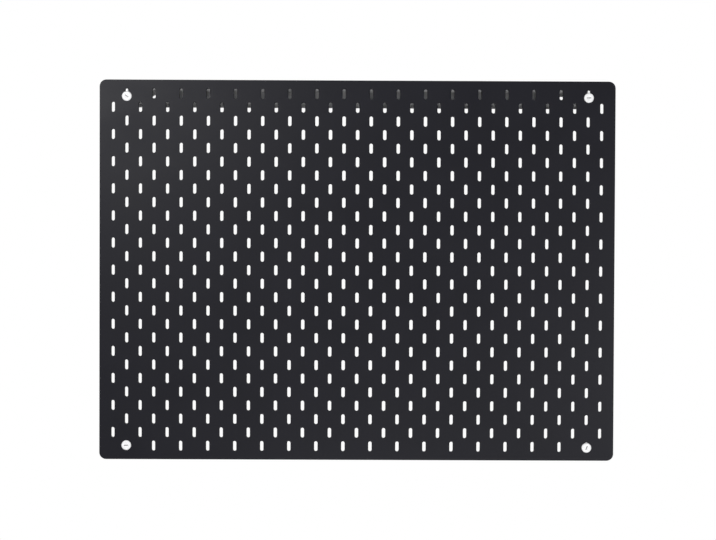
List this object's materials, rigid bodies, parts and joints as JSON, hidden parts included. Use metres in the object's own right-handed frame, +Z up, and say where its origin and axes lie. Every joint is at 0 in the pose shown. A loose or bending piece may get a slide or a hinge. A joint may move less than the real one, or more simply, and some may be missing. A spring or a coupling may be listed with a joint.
{
  "type": "slotted pegboard on a wall rail",
  "caption": "Wall board pierced with staggered upright slots, hung by two hooks on a folded rail and held off the wall by two ribbed feet, with four slotted clamp screws.",
  "frame": {"origin": "on the wall, midway between the two screw slots of the rail", "axes": "+X to the right as seen from the front, +Y into the wall, so the board faces -Y, +Z up"},
  "size_m": [0.76, 0.0224, 0.56],
  "materials": {
    "board": "satin",
    "rail": "satin",
    "fixings": "satin"
  },
  "bodies": {
    "rail": {"suspension_rail": "rail"},
    "board": {"pegboard_panel": "board"},
    "upper_left_screw": {"upper_left_screw": "fixings"},
    "upper_left_hanger": {"upper_left_hanger": "fixings"},
    "upper_right_screw": {"upper_right_screw": "fixings"},
    "upper_right_hanger": {"upper_right_hanger": "fixings"},
    "lower_left_screw": {"lower_left_screw": "fixings"},
    "lower_left_spacer": {"lower_left_spacer": "fixings"},
    "lower_right_screw": {"lower_right_screw": "fixings"},
    "lower_right_spacer": {"lower_right_spacer": "fixings"}
  },
  "joints": [
    {"name": "board_lift", "type": "slide", "parent": "rail", "child": "board", "axis": [0, 0, 1], "range_m": [0, 0.03]},
    {"name": "upper_left_screw_turn", "type": "hinge", "parent": "board", "child": "upper_left_screw", "pos_m": [-0.3429, -0.02, 0.0011], "axis": [0, -1, 0], "range_deg": [0, 288.1]},
    {"name": "upper_left_hanger_draw", "type": "slide", "parent": "board", "child": "upper_left_hanger", "axis": [0, 1, 0], "range_m": [0, 0.0012]},
    {"name": "upper_right_screw_turn", "type": "hinge", "parent": "board", "child": "upper_right_screw", "pos_m": [0.3375, -0.02, 0.0011], "axis": [0, -1, 0], "range_deg": [0, 288.1]},
    {"name": "upper_right_hanger_draw", "type": "slide", "parent": "board", "child": "upper_right_hanger", "axis": [0, 1, 0], "range_m": [0, 0.0012]},
    {"name": "lower_left_screw_turn", "type": "hinge", "parent": "board", "child": "lower_left_screw", "pos_m": [-0.34295, -0.02, -0.5136], "axis": [0, -1, 0], "range_deg": [0, 288.1]},
    {"name": "lower_left_spacer_draw", "type": "slide", "parent": "board", "child": "lower_left_spacer", "axis": [0, 1, 0], "range_m": [0, 0.0012]},
    {"name": "lower_right_screw_turn", "type": "hinge", "parent": "board", "child": "lower_right_screw", "pos_m": [0.3371, -0.02, -0.5152], "axis": [0, -1, 0], "range_deg": [0, 288.1]},
    {"name": "lower_right_spacer_draw", "type": "slide", "parent": "board", "child": "lower_right_spacer", "axis": [0, 1, 0], "range_m": [0, 0.0012]}
  ],
  "couplings": [
    {"joint": "upper_left_screw_turn", "follows": "upper_left_hanger_draw", "rad_per_m": 4188.8},
    {"joint": "upper_right_screw_turn", "follows": "upper_right_hanger_draw", "rad_per_m": 4188.8},
    {"joint": "lower_left_screw_turn", "follows": "lower_left_spacer_draw", "rad_per_m": 4188.8},
    {"joint": "lower_right_screw_turn", "follows": "lower_right_spacer_draw", "rad_per_m": 4188.8}
  ]
}
